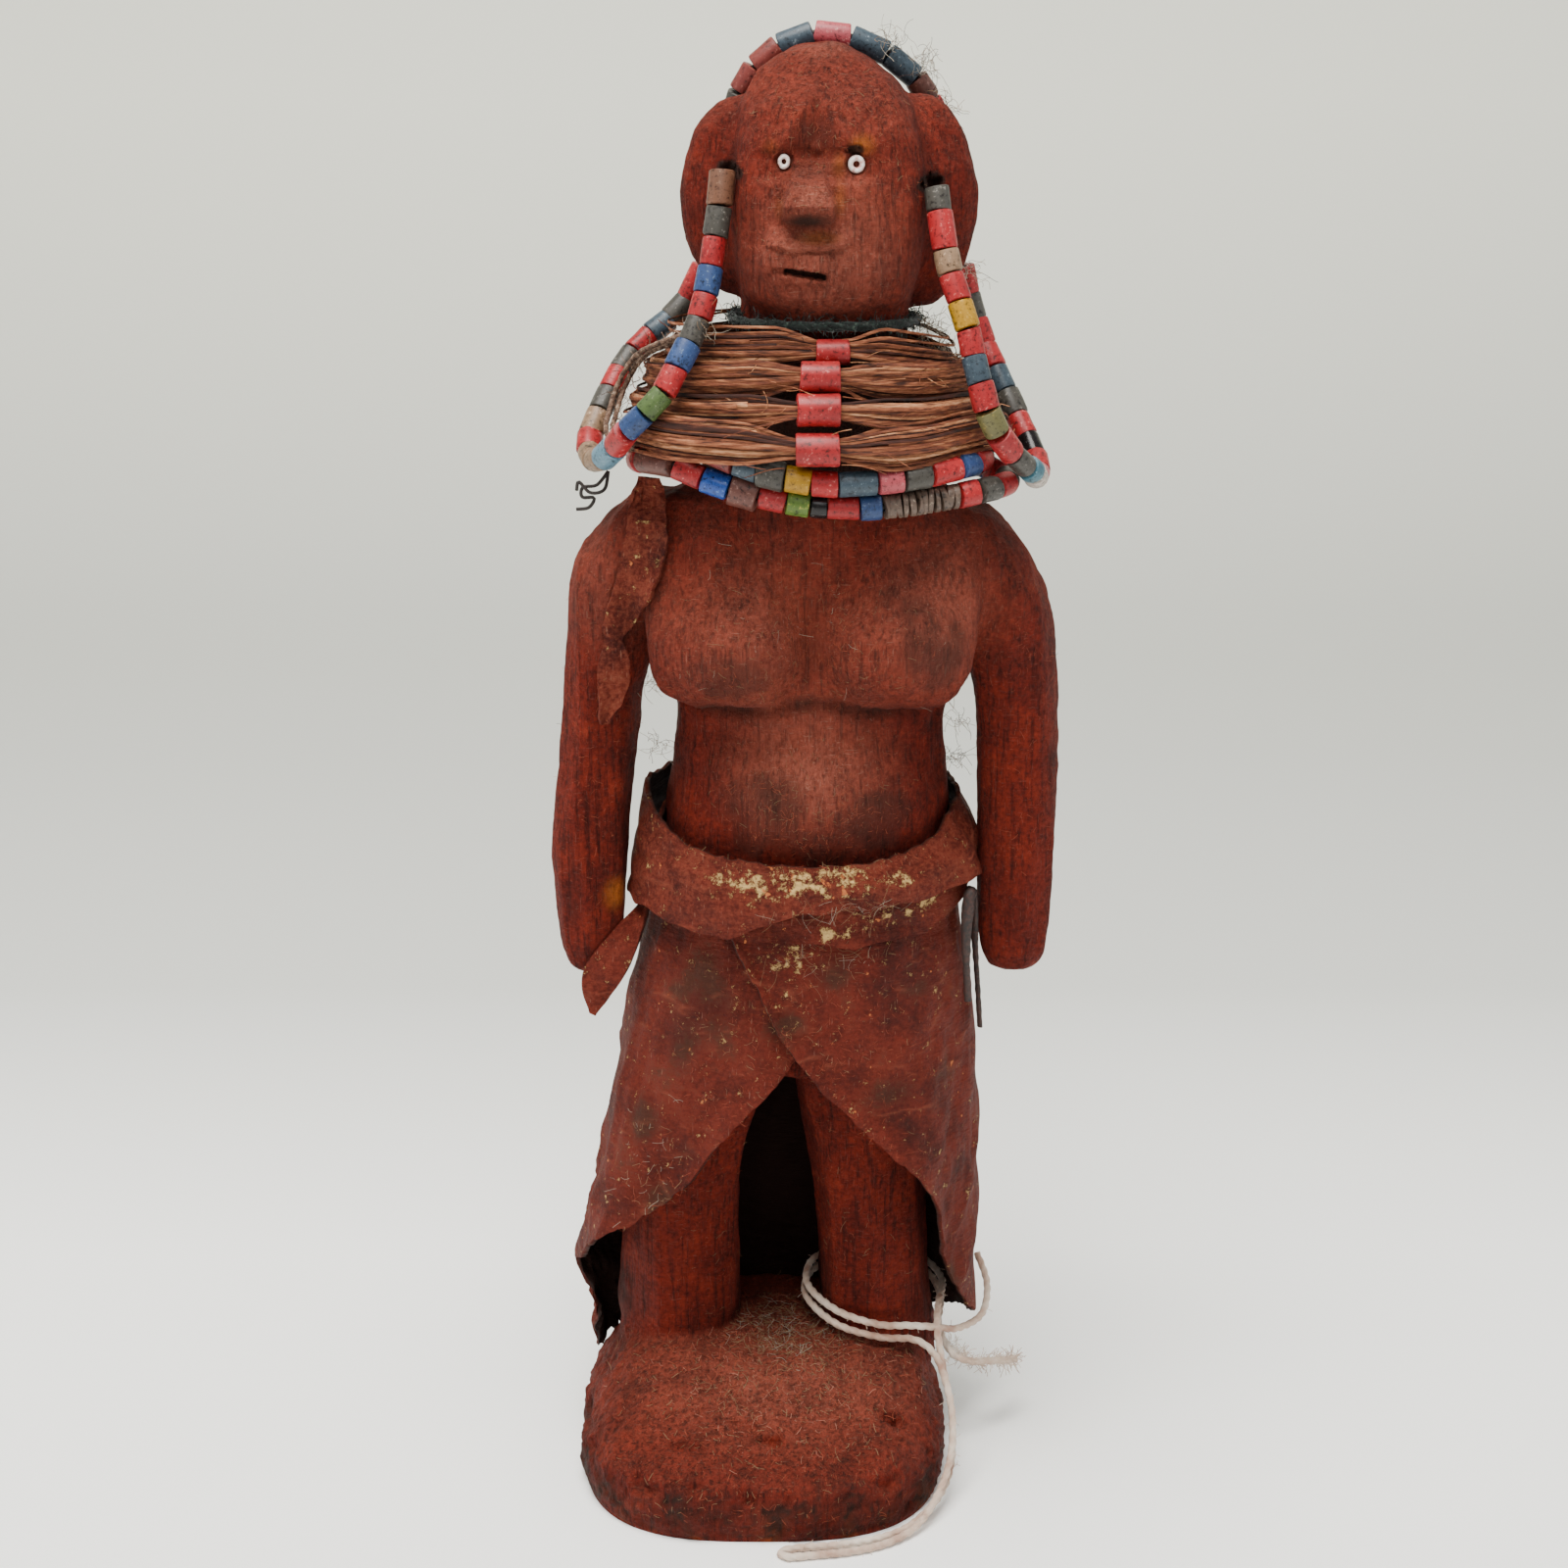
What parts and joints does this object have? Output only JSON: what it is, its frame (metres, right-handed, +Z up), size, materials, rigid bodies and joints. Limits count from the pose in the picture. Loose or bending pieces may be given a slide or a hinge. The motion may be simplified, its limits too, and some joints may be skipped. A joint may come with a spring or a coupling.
{
  "type": "carved doll",
  "caption": "Carved wooden figure standing on its own base, dressed in bead strings, a plant-fibre collar, a hide belt and a wrapped hide skirt.",
  "frame": {"origin": "middle of the base's flat underside, on the surface that it stands on", "axes": "+Z up from the base to the crown of the head; the doll faces -Y; +X is the doll's left side"},
  "size_m": [0.099, 0.0806, 0.289],
  "materials": {
    "carved_wood": "red ochre and fat rubbed into tool-marked wood, matt",
    "white_glass": "opaque white glass, satin",
    "trade_beads": "opaque tube beads in red, blue, brown and grey, worn matt",
    "red_glass": "opaque red tube bead, worn satin",
    "dark_cord": "dark green-black twisted cord",
    "plant_fibre": "split plant fibre, red-brown to pale tan",
    "hide": "dry tanned hide rubbed with red ochre, matt, with pale bloom",
    "cotton": "pale twisted cotton string"
  },
  "bodies": {
    "root": {"carved_figure": "carved_wood", "eye_bead_right": "white_glass", "eye_bead_left": "white_glass", "crown_strand": "trade_beads", "ear_loop_right": "trade_beads", "ear_loop_left": "trade_beads", "necklace_upper": "trade_beads", "necklace_lower": "trade_beads", "neck_cord": "dark_cord", "collar_hoop_1": "plant_fibre", "collar_hoop_2": "plant_fibre", "collar_hoop_3": "plant_fibre", "collar_hoop_4": "plant_fibre", "collar_bead_1": "red_glass", "collar_bead_2": "red_glass", "collar_bead_3": "red_glass", "collar_bead_4": "red_glass", "shoulder_strap": "hide", "belt_outer_strip": "hide", "belt_inner_strip": "hide", "skirt": "hide", "hip_tie": "hide", "hip_thong": "hide", "ankle_string": "cotton"}
  },
  "joints": []
}
